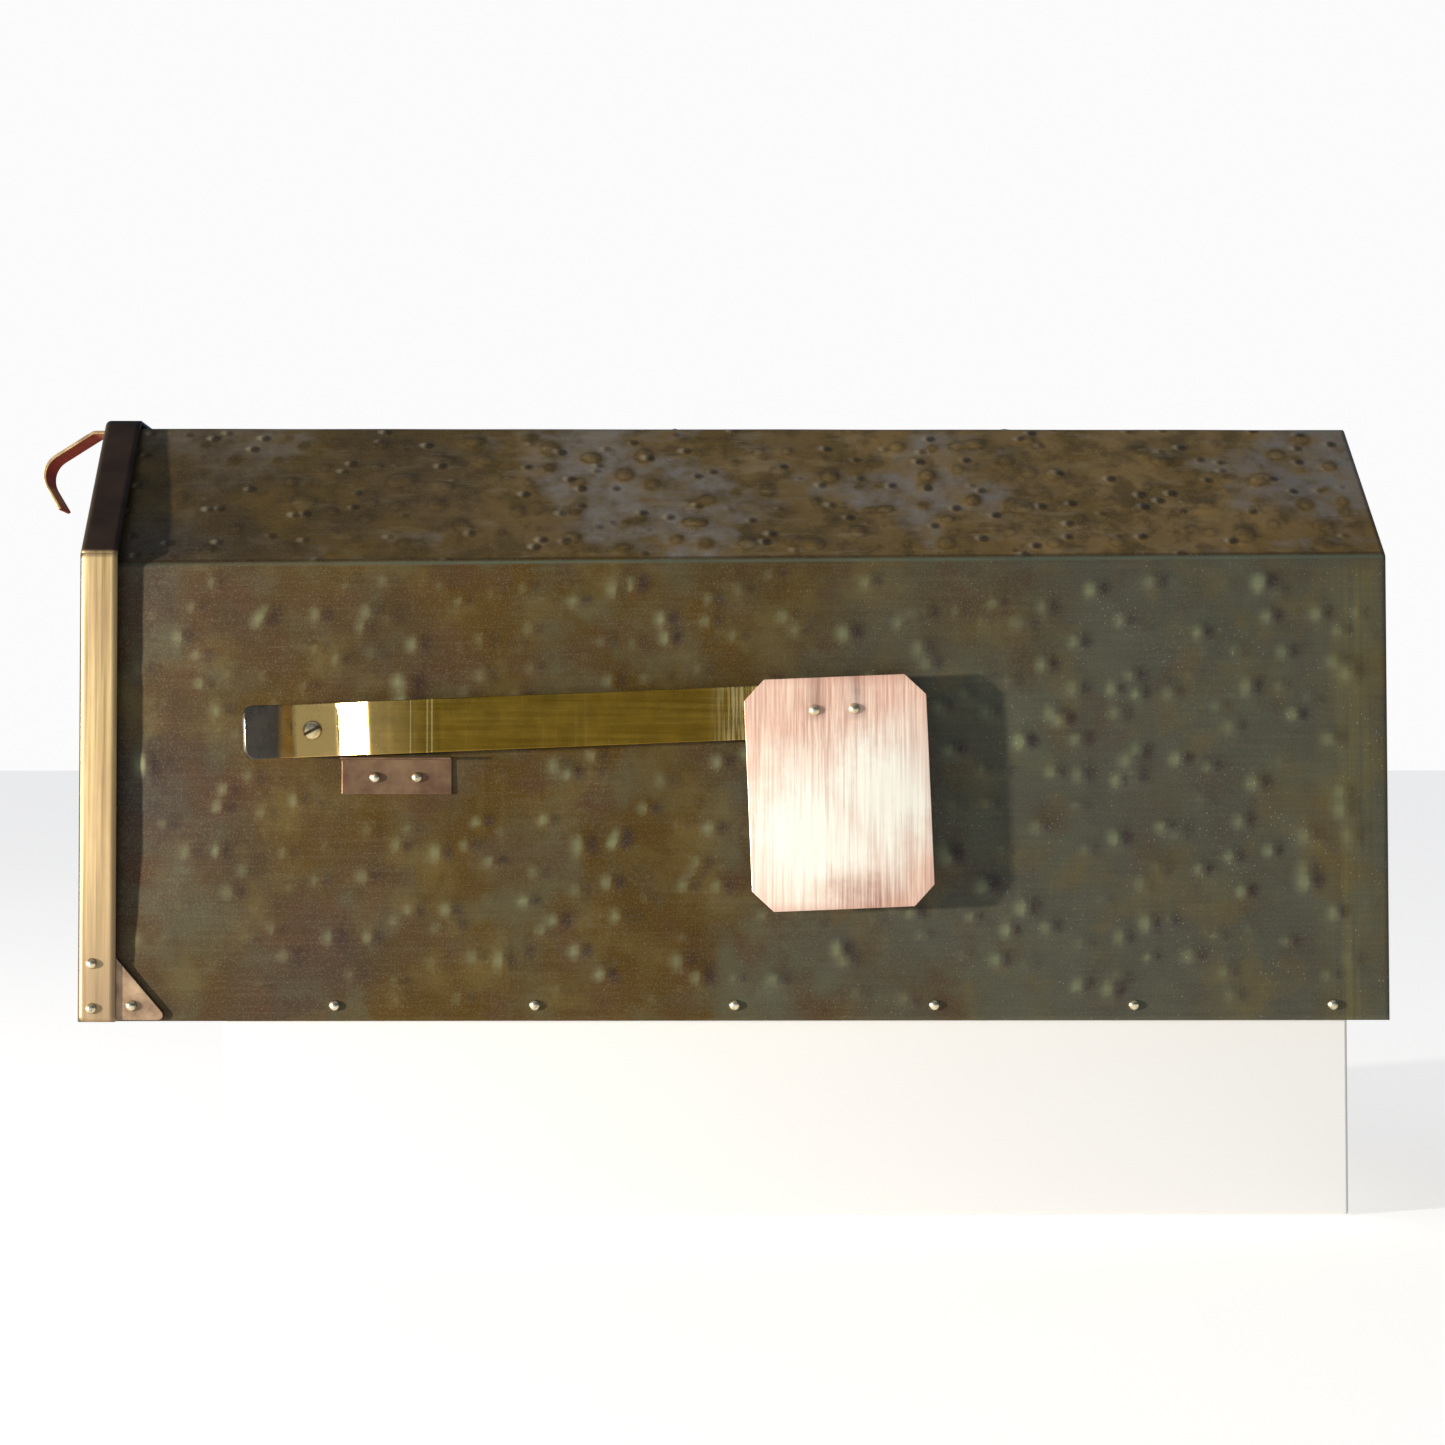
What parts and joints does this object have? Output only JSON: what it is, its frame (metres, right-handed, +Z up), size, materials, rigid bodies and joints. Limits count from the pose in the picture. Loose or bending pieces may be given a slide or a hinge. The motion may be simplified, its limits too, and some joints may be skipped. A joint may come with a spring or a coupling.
{
  "type": "letter box",
  "caption": "Hammered sheet-metal letter box with a flat-topped gabled roof, a bottom-hinged front door with a bent strap pull, and a swinging signal flag on its right side.",
  "frame": {"origin": "centre of the floor's underside", "axes": "+X from the door to the back, -Y towards the flag side, +Z up"},
  "size_m": [0.5406, 0.228, 0.239],
  "materials": {
    "patinated_brass": "hammered, dark olive-brown patina",
    "rim_brass": "brushed, lightly tarnished",
    "brown_copper": "satin, brown tarnish",
    "handle_brass": "satin outside, red-brown inside",
    "yellow_brass": "polished, scratched",
    "brushed_copper": "bright, brushed lengthwise",
    "rivet_brass": "satin, pale",
    "plated_steel": "zinc plated",
    "magnet": "dark, matt"
  },
  "bodies": {
    "mailbox": {"body_shell": "patinated_brass", "floor_pan": "patinated_brass", "back_panel": "patinated_brass", "floor_rivet_right_1": "rivet_brass", "floor_rivet_right_2": "rivet_brass", "floor_rivet_right_3": "rivet_brass", "floor_rivet_right_4": "rivet_brass", "floor_rivet_right_5": "rivet_brass", "floor_rivet_right_6": "rivet_brass", "floor_rivet_left_1": "rivet_brass", "floor_rivet_left_2": "rivet_brass", "floor_rivet_left_3": "rivet_brass", "floor_rivet_left_4": "rivet_brass", "floor_rivet_left_5": "rivet_brass", "floor_rivet_left_6": "rivet_brass", "hinge_pivot_rivet_right": "rivet_brass", "hinge_pivot_rivet_left": "rivet_brass", "hinge_pivot_washer_right": "plated_steel", "hinge_pivot_washer_left": "plated_steel", "catch_bracket": "plated_steel", "catch_magnet": "magnet", "catch_rivet_right": "rivet_brass", "catch_rivet_left": "rivet_brass", "stop_bracket": "brown_copper", "stop_bracket_rivet_front": "rivet_brass", "stop_bracket_rivet_rear": "rivet_brass", "flag_pivot_screw": "rivet_brass", "flag_spacer": "plated_steel", "flag_inner_washer": "plated_steel", "flag_lock_nut": "plated_steel"},
    "door": {"door_panel": "rim_brass", "hinge_ear_right": "brown_copper", "hinge_ear_left": "brown_copper", "ear_rivet_right_lower": "rivet_brass", "ear_rivet_right_upper": "rivet_brass", "ear_rivet_left_lower": "rivet_brass", "ear_rivet_left_upper": "rivet_brass", "handle_strap": "handle_brass", "handle_rivet_right": "rivet_brass", "handle_rivet_left": "rivet_brass", "striker_plate": "plated_steel"},
    "flag": {"flag_arm": "yellow_brass", "flag_plate": "brushed_copper", "flag_plate_rivet_front": "rivet_brass", "flag_plate_rivet_rear": "rivet_brass"}
  },
  "joints": [
    {"name": "door_hinge", "type": "hinge", "parent": "mailbox", "child": "door", "pos_m": [-0.2332, 0, 0.0061], "axis": [0, -1, 0], "range_deg": [0, 95]},
    {"name": "flag_pivot", "type": "hinge", "parent": "mailbox", "child": "flag", "pos_m": [-0.1636, -0.1015, 0.1123], "axis": [0, -1, 0], "range_deg": [0, 90]}
  ]
}
